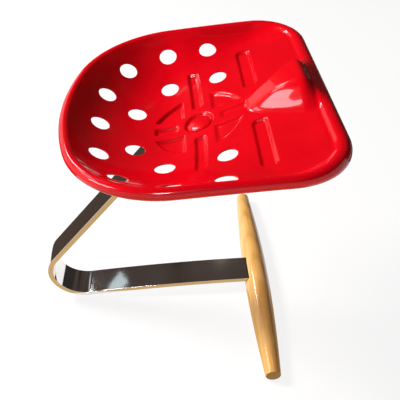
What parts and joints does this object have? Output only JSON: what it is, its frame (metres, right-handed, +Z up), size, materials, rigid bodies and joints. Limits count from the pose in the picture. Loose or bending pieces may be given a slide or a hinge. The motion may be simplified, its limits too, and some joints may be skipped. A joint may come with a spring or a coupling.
{
  "type": "tractor seat stool",
  "caption": "Low cantilever stool: red enamelled pressed-steel tractor seat bolted to a bent chromed steel strip with a turned beech foot bar.",
  "frame": {"origin": "on the floor, under the middle of the whole stool", "axes": "+Z up, +X to the sitter's left, the sitter faces -Y"},
  "size_m": [0.499, 0.5176, 0.5029],
  "materials": {
    "red_enamel": "high gloss",
    "chrome": "mirror",
    "beech": "clear lacquer, semi-gloss",
    "zinc": "zinc plated"
  },
  "bodies": {
    "stand": {"stem": "chrome", "foot_bar": "beech", "bar_screw_left": "zinc", "bar_screw_right": "zinc"},
    "seat": {"seat_pan": "red_enamel", "seat_bolt": "red_enamel"},
    "washer": {"washer": "zinc"},
    "wing_nut": {"wing_nut": "zinc"}
  },
  "joints": [
    {"name": "seat_swivel", "type": "hinge", "parent": "stand", "child": "seat", "pos_m": [0, -0.0542, 0.40856], "axis": [0, 0.3535, 0.9354], "continuous": true},
    {"name": "washer_drop", "type": "slide", "parent": "seat", "child": "washer", "axis": [0, -0.3535, -0.9354], "range_m": [0, 0.00451]},
    {"name": "nut_turn", "type": "hinge", "parent": "washer", "child": "wing_nut", "pos_m": [0, -0.0542, 0.40856], "axis": [0, -0.3535, -0.9354], "range_deg": [0, 1080]}
  ],
  "couplings": [
    {"joint": "washer_drop", "follows": "nut_turn", "m_per_rad": 0.00023873}
  ]
}
